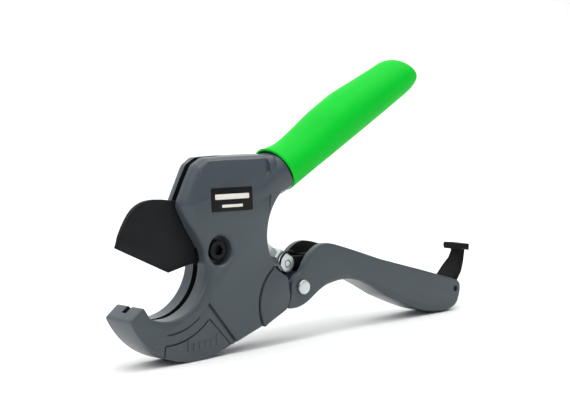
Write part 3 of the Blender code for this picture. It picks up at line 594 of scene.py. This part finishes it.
# Low edge, high edge and half length of each printed bar.
BARS = ((0.1, 2.3, 9.2), (-3.3, -2.1, 5.6))


def on_plate(x, z):
    """A point on the name plate, from its middle, turned with it."""
    return PLATE_CENTER + np.array([x * math.cos(PLATE_TURN) - z * math.sin(PLATE_TURN),
                                    x * math.sin(PLATE_TURN) + z * math.cos(PLATE_TURN)])


def plate_patch(reach, low, high):
    """The four corners of an upright strip on the plate, from -reach to reach."""
    return [on_plate(-reach, low), on_plate(reach, low), on_plate(reach, high), on_plate(-reach, high)]


wide, tall = PLATE_HALF
rings = slab_rings(widths(plate_patch(wide, -tall, tall), 0.25), 0.35, steps=3, spacing=0.4, soften=0.35,
                   deepest=0.2)
rings[..., 1] -= FRAME_HALF - PLATE_BED - crease_depth(rings[..., 0], rings[..., 2])
plate = put("black_name_plate", rings.reshape(-1, 3), skin(rings), PLATE_BLACK)
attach(plate, "frame")
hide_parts("name_plate")

bar_stacks = []
for low, high, reach in BARS:
    rings = slab_rings(widths(plate_patch(reach, low, high), 0.05), 0.04, steps=1, spacing=0.3, soften=0.2,
                       deepest=0.03)
    rings[..., 1] -= FRAME_HALF + INK_MIDDLE - crease_depth(rings[..., 0], rings[..., 2])
    bar_stacks.append(rings)
bars = joined("plate_bars", bar_stacks, PRINT)
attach(bars, "frame")


# ------------------------------------------------------------------------------------------
# Handle grip: a soft PVC sleeve, dipped or slip-moulded in bright green and pushed over the
# casting's tang. It swells for the palm and ends in a slanting dome.
# ------------------------------------------------------------------------------------------
# Pigmented PVC: strong, even green, soft and nearly matt.
GREEN = finish("slip-moulded green PVC", "#00C42E", 0.55, shine=0.12, mottle=0.04, mottle_mm=18,
               grain_mm=0.5, grain_depth_mm=0.01, rough_spread=0.05)
GRIP_LENGTH = 90.55
DOME_START = 79.0
UNDERSIDE = 0.7
DOME_TIP = 4.5                  # how far the dome's end lies above the underside
# Each row holds the place along the grip, the half height and the half width.
SWELL = np.array([[0.0, 10.6, 11.9], [3.1, 10.1, 11.4], [9.4, 9.3, 10.9], [19.8, 9.6, 11.2],
                  [34.4, 10.3, 11.9], [49.1, 10.4, 12.1], [62.6, 9.6, 11.6], [75.2, 9.0, 11.0],
                  [79.0, 8.75, 10.7]])


def smoothed(values, reach=6, spread=2.6):
    """A column averaged with its neighbours by Gaussian weights, its ends held."""
    kernel = np.exp(-0.5 * (np.arange(-reach, reach + 1) / spread) ** 2)
    kernel /= kernel.sum()
    return np.convolve(np.pad(values, reach, mode="edge"), kernel, "valid")


def grip_rings():
    """Rings of the sleeve: the turned-in mouth, the rim, the swelling body, and the dome.

    The rim is two quarter circles, from the mouth to the front and on to the outside. The body's
    half sizes come from a smoothed table, with the underside kept straight. In the dome, over a
    quarter turn t, the half height falls as cos t to the power 0.8 and the half width as its root.
    """
    mouth = ((6.0, 0.01, 0.01), (6.0, 9.2, 10.4), (0.9, 9.5, 10.7))
    rings = [oval(along, 10.9, a, b) for along, a, b in mouth]
    for turn in np.linspace(0, math.pi / 2, 5)[:-1]:
        out = 1 - math.cos(turn)
        rings.append(oval(0.9 - 0.9 * math.sin(turn), 10.95 + 0.3 * out, 9.5 + 0.55 * out, 10.7 + 0.6 * out))
    for turn in np.linspace(math.pi / 2, 0, 5):
        front = math.sin(turn)
        rings.append(oval(0.55 - 0.55 * front, 11.3, 10.6 - 0.5 * front, 11.9 - 0.5 * front))
    stations = np.linspace(0.0, DOME_START, 70)
    a = smoothed(np.interp(stations, SWELL[:, 0], SWELL[:, 1]))
    b = smoothed(np.interp(stations, SWELL[:, 0], SWELL[:, 2]))
    for along, high, wide in zip(stations[1:], a[1:], b[1:]):
        rings.append(oval(along, high + UNDERSIDE, high, wide))
    for t in np.linspace(0, math.pi / 2, 15)[1:]:
        along = DOME_START + (GRIP_LENGTH - DOME_START) * math.sin(t)
        tall = max(0.002, math.cos(t) ** 0.8)
        broad = max(0.002, math.cos(t) ** 0.5)
        middle = UNDERSIDE + a[-1] * tall + DOME_TIP * (1 - tall)
        rings.append(oval(along, middle, a[-1] * tall, b[-1] * broad))
    return np.array(rings)


rings = grip_rings()
grip = put("green_grip_sleeve", rings.reshape(-1, 3), skin(rings), GREEN, 60)
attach(grip, "frame")
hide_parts("handle_grip")


# ------------------------------------------------------------------------------------------
# Blade: 2.2 mm tool steel, blanked, hardened, ground to a long bevel along both parts of its
# edge and coated in a matt black non-stick film. Its rear sector carries the ratchet's teeth.
# ------------------------------------------------------------------------------------------
# The film is sprayed and baked over ground steel, so it is matt, with faint upright streaks.
BLADE_COAT = finish("black PTFE-coated tool steel", "#101216", 0.55, mottle=0.12, mottle_mm=9, grain_mm=0.4,
                    grain_depth_mm=0.006, rough_spread=0.06, stretch=(1.0, 1.0, 0.35), shine=0.2, fleck=0.1)
BLADE_HALF = 1.1
BLADE_BORE_RADIUS = 4.9
TEETH = 30
SECTOR = (-60.0, 95.0)
SECTOR_RADIUS = 24.0
ROOT_RADIUS = 22.8


def teeth():
    """Ratchet teeth on the sector: out to the full radius, then straight down to the root."""
    pitch = (SECTOR[1] - SECTOR[0]) / TEETH
    angle = SECTOR[0] + pitch * np.arange(TEETH)
    tops = np.radians(angle)
    roots = np.radians(angle + 0.2)
    outer = SECTOR_RADIUS * np.stack([np.cos(tops), np.sin(tops)], axis=1)
    inner = ROOT_RADIUS * np.stack([np.cos(roots), np.sin(roots)], axis=1)
    return np.stack([outer, inner], axis=1).reshape(-1, 2)


EDGE_WIDTH = 3.4
HUB_RADIUS = 8.8
blade_controls = np.vstack([
    widths(BLADE_TIP, 1.2),
    widths([[-46.9, 5.05], [-35.1, -0.8], [-21.6, -7.5], [-14.5, -6.2]], EDGE_WIDTH),
    widths([[-8.4, -5.1]], 0.3),
    widths(arc([0, 0], HUB_RADIUS, 222, 286), 0.15),
    widths(teeth(), 0.12),
    widths(arc([0, 0], ROOT_RADIUS, 95, 112), 0.15),
    widths([[-17.9, 22.2], [-23.0, 23.2], [-28.3, 23.7], [-31.7, 23.6], [-34.4, 23.1], [-36.9, 22.1],
            [-39.1, 20.7], [-40.9, 19.0], [-42.7, 16.8], [-44.4, 14.2], [-46.4, 10.6]], 0.25)])
rings = slab_rings(blade_controls, BLADE_HALF, steps=3, spacing=0.25, soften=0.12, deepest=0.95, sweep=20.0)
blade = put("coated_blade", rings.reshape(-1, 3), skin(rings), BLADE_COAT, 12)
cut(blade, [prism("tool_blade_hole", disc([0, 0], BLADE_BORE_RADIUS), -BEYOND, BEYOND)])
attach(blade, "blade")
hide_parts("blade")


# ------------------------------------------------------------------------------------------
# Small steel pieces: the carried-over solids with rounded edges. Turned and stamped parts are
# zinc-plated, but the two washers are coloured dark as painted shade where they show in the slot;
# the bolt and the springs are blackened.
# ------------------------------------------------------------------------------------------
# Zinc plate: pale, cold and softly bright, with slightly uneven gloss.
ZINC = finish("bright zinc-plated steel", "#C9D0D1", 0.34, metal=1.0, mottle=0.06, mottle_mm=3, grain_mm=0.3,
              grain_depth_mm=0.006, rough_spread=0.08)
# Hot black oxide: a thin, dark, oily film over the metal.
BLACK_OXIDE = finish("black-oxide steel", "#1C1D1F", 0.38, metal=0.85, mottle=0.15, mottle_mm=2,
                     grain_mm=0.25, grain_depth_mm=0.004, rough_spread=0.07)


def refine(source, name, material, body_name, width, segments=2):
    """A merged copy of a CAD solid with its edges rounded, standing for that solid."""
    mesh = frame["nodes"][source].data.copy()
    mesh.materials.clear()
    mesh.materials.append(material)
    obj = bpy.data.objects.new(name, mesh)
    bpy.context.scene.collection.objects.link(obj)
    shape = bmesh.new()
    shape.from_mesh(mesh)
    bmesh.ops.remove_doubles(shape, verts=shape.verts, dist=2e-6)
    bmesh.ops.dissolve_limit(shape, angle_limit=math.radians(1.0), verts=shape.verts, edges=shape.edges)
    for face in shape.faces:
        face.material_index = 0
    shape.to_mesh(mesh)
    shape.free()
    mesh.shade_smooth()
    mesh.set_sharp_from_angle(angle=math.radians(30))
    round_off(obj, width, 35, segments)
    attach(obj, body_name)
    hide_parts(source)


# The solid, its finish, the record's slot, its body and the rounding in millimetres.
for source, material, slot, body_name, width in (
        ("blade_pivot_nut", ZINC, "zinc_steel", "frame", 0.25),
        ("blade_bush", ZINC, "zinc_steel", "frame", 0.1),
        # The washers take the dark black-oxide colour in place of their zinc plating, as painted shade where
        # they show in the slot.
        ("blade_washer_near", BLACK_OXIDE, "zinc_steel", "frame", 0.1),
        ("blade_washer_far", BLACK_OXIDE, "zinc_steel", "frame", 0.1),
        ("handle_pivot_bush", ZINC, "zinc_steel", "frame", 0.1),
        ("pin_retaining_clip", ZINC, "zinc_steel", "frame", 0.12),
        ("drive_pawl", ZINC, "zinc_steel", "drive_pawl", 0.25),
        ("drive_pawl_pin", ZINC, "zinc_steel", "lever", 0.15),
        ("holding_pawl", ZINC, "zinc_steel", "holding_pawl", 0.12),
        ("holding_pawl_pin", ZINC, "zinc_steel", "frame", 0.1),
        ("latch_pin", BLACK_OXIDE, "black_steel", "lever", 0.15),
        ("blade_pivot_bolt", BLACK_OXIDE, "black_steel", "frame", 0.15)):
    refine(source, "fine_" + source, material, body_name, width)


# ------------------------------------------------------------------------------------------
# Pivot pin: turned from bright bar and zinc-plated, with a flat round head that is rounded at
# its rim. It passes through both cheeks and the frame's lug.
# ------------------------------------------------------------------------------------------
# Radius and y, from the head's slightly hollow face to the far end.
PIN_PROFILE = ((0.01, -10.62), (1.0, -10.64), (2.55, -10.72), (2.85, -10.66), (3.05, -10.5), (3.18, -10.2),
               (3.2, -9.9), (3.2, -9.42), (3.1, -9.32), (2.45, -9.3), (2.4, -9.2), (2.4, 10.4), (2.2, 10.7),
               (0.01, 10.7))
pin = turned("turned_pivot_pin", LEVER_PIVOT, PIN_PROFILE, ZINC, count=72, sharp=40)
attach(pin, "frame")
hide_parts("handle_pivot_pin")


# ------------------------------------------------------------------------------------------
# Springs: cold-wound music wire, oiled black. The coil opens the lever, the arched wire holds
# the drive pawl against the teeth, and the small coil presses the holding pawl.
# ------------------------------------------------------------------------------------------
# Drawn wire under oil: smooth, dark and bright along its curve.
SPRING_WIRE = finish("oiled music wire", "#17181A", 0.32, metal=0.9, mottle=0.1, mottle_mm=2, grain_mm=0.2,
                     grain_depth_mm=0.003)


def round_wire(path, radius, sides=16):
    """A round wire along a path: each ring is square to the path, on axes crossed with Y."""
    path = np.asarray(path, dtype=float)
    ahead = np.vstack([path[1:], path[-1:]])
    behind = np.vstack([path[:1], path[:-1]])
    along = ahead - behind
    along /= np.linalg.norm(along, axis=1)[:, None]
    first = np.cross(along, np.array([0.0, 1.0, 0.0]))
    lengths = np.linalg.norm(first, axis=1)
    first = np.where(lengths[:, None] > 1e-6, first / np.maximum(lengths, 1e-9)[:, None], [1.0, 0.0, 0.0])
    second = np.cross(along, first)
    t = 2 * math.pi * np.arange(sides) / sides
    return (path[:, None, :] + radius * (first[:, None, :] * np.cos(t)[None, :, None]
                                         + second[:, None, :] * np.sin(t)[None, :, None]))


def helix(center, radius, y_low, turns, pitch, steps=48):
    """A helix round an axis along Y."""
    t = np.linspace(0, turns, int(turns * steps) + 1)
    return np.stack([center[0] + radius * np.cos(2 * math.pi * t), y_low + pitch * t,
                     center[1] + radius * np.sin(2 * math.pi * t)], axis=1)


COIL_RADIUS = 4.65
COIL_TURNS = 1.3
WIRE_RADIUS = 0.45
rings = round_wire(helix(LEVER_PIVOT, COIL_RADIUS, -5.05, COIL_TURNS, 1.15), WIRE_RADIUS)
opener = put("lever_return_coil", rings.reshape(-1, 3), skin(rings), SPRING_WIRE, 60)
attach(opener, "frame")
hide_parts("handle_return_spring")

ARCH_RADIUS = 5.4
ARCH_Y = -5.2
curve = arc(DRIVE_PIN, ARCH_RADIUS, 178, 58, 3.05)
path = np.stack([curve[:, 0], np.full(len(curve), ARCH_Y), curve[:, 1]], axis=1)
rings = round_wire(path, WIRE_RADIUS)
arch = put("pawl_wire_spring", rings.reshape(-1, 3), skin(rings), SPRING_WIRE, 60)
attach(arch, "lever")
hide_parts("drive_pawl_spring")

# A helix round the small spring's own slanting axis: out along it, and round it by cos and sin.
PRESSER_TURNS = 4
PRESSER_PITCH = 0.56
PRESSER_RADIUS = 0.8
low, high = (np.array(corner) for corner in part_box("holding_pawl_spring"))
middle = ((low + high) / 2 - PIVOT) / MM
axis = np.array([0.542, 0.84])
square = np.array([-axis[1], axis[0]])
t = np.linspace(0, PRESSER_TURNS, 97)
run = (t - PRESSER_TURNS / 2) * PRESSER_PITCH
sway = PRESSER_RADIUS * np.cos(2 * math.pi * t)
flat = middle[[0, 2]] + axis * run[:, None] + square * sway[:, None]
path = np.stack([flat[:, 0], PRESSER_RADIUS * np.sin(2 * math.pi * t), flat[:, 1]], axis=1)
rings = round_wire(path, 0.18, 10)
presser = put("holding_pawl_coil", rings.reshape(-1, 3), skin(rings), SPRING_WIRE, 60)
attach(presser, "frame")
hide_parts("holding_pawl_spring")


# ------------------------------------------------------------------------------------------
# Lever handle: a die-cast channel, open towards the fixed handle and rounded where the fingers
# close round it, with a centre tongue that carries the drive pawl. Same grey powder coat outside;
# the channel's walls, the bridge and the tongue are coloured dark as painted shade.
# ------------------------------------------------------------------------------------------
HANDLE_HALF = 9.0
CHANNEL_HALF = 6.0
LUG_PLAY = 0.5
BRIDGE_HALF = 7
TONGUE_HALF = 1.8
LEVER_BORE_RADIUS = 2.7
DRIVE_BORE_RADIUS = 1.7
LATCH_BORE_RADIUS = 1.35
HEEL_Z = JAW_BACK[1] - JAW_BACK_RADIUS       # the heel and the jaw stand on one floor
under_near = LEVER_PIVOT + np.array([[-9.0, -8.8], [-1.8, -9.1], [3.2, -7.5], [9.3, -3.7], [16.0, -1.5],
                                     [23.3, -0.4], [29.4, -0.5], [36.7, -2.4], [44.7, -6.6], [54.0, -12.2]])
under = np.vstack([under_near, [[111.6, -39.0], [121.3, -42.8], [129.5, HEEL_Z + 0.4], [134.5, HEEL_Z],
                                [138.4, HEEL_Z + 0.6]]])
top_far = np.array([[142.2, -42.0], [144.2, -37.4], [145.0, -33.4], [143.8, -31.2], [138.4, -29.3],
                    [118.6, -22.9], [93.2, -15.0]])
top_near = LEVER_PIVOT + np.array([[32.6, 12.0], [22.1, 15.7], [17.2, 17.2], [13.2, 17.5], [9.6, 16.7],
                                   [5.3, 14.0], [2.2, 10.5], [-0.2, 6.1]])
lever_controls = np.vstack([
    widths(under[:1], 0.7), widths(under[1:4], 1.4), widths(under[4:-1], 3.4), widths(under[-1:], 2.4),
    widths(top_far[:3], 1.4), widths(top_far[3:], 0.8), widths(top_near, 0.8),
    widths(arc(LEVER_PIVOT, LUG_RADIUS, 112, 197, 6), 0.6)])
lever = slab("cast_lever", lever_controls, HANDLE_HALF, PAINT, spacing=0.7, soften=1.6, deepest=2.9)
floor = under + np.array([0.0, 2.6])
floor[0] += [-5.0, -0.6]
channel = np.vstack([floor, [[150.0, HEEL_Z + 5.0], [150.0, 20.0], [30.0, 20.0]]])
# The channel's walls, the bridge and the tongue take the dark casting colour, which paints the shade inside
# the channel.
cut(lever, [prism("tool_channel", channel, -CHANNEL_HALF, CHANNEL_HALF, GREASE_AND_PAINTED_SHADE),
            prism("tool_lug_room", disc(LEVER_PIVOT, LUG_RADIUS + LUG_PLAY), -CHANNEL_HALF, CHANNEL_HALF,
                  GREASE_AND_PAINTED_SHADE)])
bridge = LEVER_PIVOT + np.array([[8.5, 6.6], [15.0, 6.6], [15.0, 12.5], [9.0, 12.5]])
tongue = np.vstack([arc(DRIVE_PIN, 3.6, 45, 250), [DRIVE_PIN + [0, -2.4]],
                    [[LEVER_PIVOT[0] + 10, DRIVE_PIN[1] - 2.4], [LEVER_PIVOT[0] + 10, DRIVE_PIN[1] + 1.5]]])
cut(lever, [prism("tool_bridge", bridge, -BRIDGE_HALF, BRIDGE_HALF, GREASE_AND_PAINTED_SHADE),
            prism("tool_tongue", tongue, -TONGUE_HALF, TONGUE_HALF, GREASE_AND_PAINTED_SHADE)], "UNION")
cut(lever, [prism("tool_lever_bore", disc(LEVER_PIVOT, LEVER_BORE_RADIUS), -BEYOND, BEYOND),
            prism("tool_drive_bore", disc(DRIVE_PIN, DRIVE_BORE_RADIUS, 32), -BEYOND, BEYOND),
            prism("tool_latch_bore", disc(LATCH_PIN, LATCH_BORE_RADIUS, 32), -BEYOND, BEYOND)])
soften_edges(lever, 38)
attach(lever, "lever")
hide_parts("lever_handle")


# ------------------------------------------------------------------------------------------
# Latch: a catch moulded in black nylon. A round hub turns on the pin in the lever's end, the
# stem leans and narrows to a neck, and a cross head with a nose hooks over the fixed handle.
# ------------------------------------------------------------------------------------------
# Moulded against a spark-eroded tool: black, dull and very slightly pebbled.
NYLON = finish("black moulded nylon", "#08090A", 0.55, mottle=0.1, mottle_mm=4, grain_mm=0.45,
               grain_depth_mm=0.012, rough_spread=0.07, shine=0.12)
refine("latch", "nylon_latch", NYLON, "latch", 0.45, segments=3)


# ------------------------------------------------------------------------------------------
# Studio: a pale floor that runs up into a pale backdrop, a large soft light overhead, a weak
# softbox on the left, a wash on the backdrop, and a long lens at the tool's left front.
# ------------------------------------------------------------------------------------------
floor_material = bpy.data.materials.new("white paper sweep")
floor_material.use_nodes = True
paper = floor_material.node_tree.nodes["Principled BSDF"]
paper.inputs["Base Color"].default_value = (0.96, 0.96, 0.96, 1.0)
paper.inputs["Roughness"].default_value = 0.8
SWEEP_SIDE = 6.0
SWEEP_FRONT = -3.0
BEND_START = 1.2
BEND_RADIUS = 0.5
SWEEP_TOP = 2.5
turn = np.linspace(0, math.pi / 2, 12)
profile = np.vstack([[[SWEEP_FRONT, 0.0]],
                     np.stack([BEND_START + BEND_RADIUS * np.sin(turn),
                               BEND_RADIUS - BEND_RADIUS * np.cos(turn)], axis=1),
                     [[BEND_START + BEND_RADIUS, SWEEP_TOP]]])
points = [[x, y, z] for y, z in profile.tolist() for x in (-SWEEP_SIDE, SWEEP_SIDE)]
quads = [[2 * i, 2 * i + 1, 2 * i + 3, 2 * i + 2] for i in range(len(profile) - 1)]
sweep = bpy.data.meshes.new("studio_sweep")
sweep.from_pydata(points, [], quads)
sweep.shade_smooth()
sweep.materials.append(floor_material)
studio = bpy.data.objects.new("studio_sweep", sweep)
bpy.context.scene.collection.objects.link(studio)
studio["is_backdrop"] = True

world = bpy.data.worlds.new("pale room")
world.use_nodes = True
air = world.node_tree.nodes["Background"]
air.inputs["Color"].default_value = (1.0, 1.0, 1.0, 1.0)
air.inputs["Strength"].default_value = 0.24
bpy.context.scene.world = world
bpy.context.scene.view_settings.view_transform = "Standard"


def area_light(name, place, size, power, target=(0.0, 0.0, 0.05)):
    """A rectangular soft light that faces a target."""
    light = bpy.data.lights.new(name, "AREA")
    light.shape = "RECTANGLE"
    light.size, light.size_y = size
    light.energy = power
    obj = bpy.data.objects.new(name, light)
    obj.location = place
    obj.rotation_euler = (Vector(place) - Vector(target)).to_track_quat("Z", "Y").to_euler()
    bpy.context.scene.collection.objects.link(obj)


area_light("ceiling", (0.0, 0.0, 2.2), (5.0, 5.0), 108.0)
area_light("key_softbox", (-0.9, -0.35, 0.8), (0.5, 0.6), 0.9)
area_light("backdrop_wash", (0.3, -0.2, 1.7), (3.0, 0.6), 18.0, target=(0.0, 1.7, 0.6))

AZIMUTH, ELEVATION, ROLL = (math.radians(v) for v in (41.5, 7.0, 1.8))
back = np.array([-math.sin(AZIMUTH) * math.cos(ELEVATION), -math.cos(AZIMUTH) * math.cos(ELEVATION),
                 math.sin(ELEVATION)])
right = np.cross(-back, [0.0, 0.0, 1.0])
right /= np.linalg.norm(right)
up = np.cross(right, -back)
right, up = (right * math.cos(ROLL) - up * math.sin(ROLL), right * math.sin(ROLL) + up * math.cos(ROLL))
TARGET = PIVOT + np.array([44.1, 0.0, 11.8]) * MM
DISTANCE = 0.85
lens = bpy.data.cameras.new("studio_camera")
lens.sensor_width = 36.0
lens.lens = 123.5
lens.clip_start = 0.05
camera = bpy.data.objects.new("studio_camera", lens)
place = Matrix((right, up, back)).transposed().to_4x4()
place.translation = Vector(TARGET + back * DISTANCE)
camera.matrix_world = place
bpy.context.scene.collection.objects.link(camera)
bpy.context.scene.camera = camera

low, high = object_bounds()
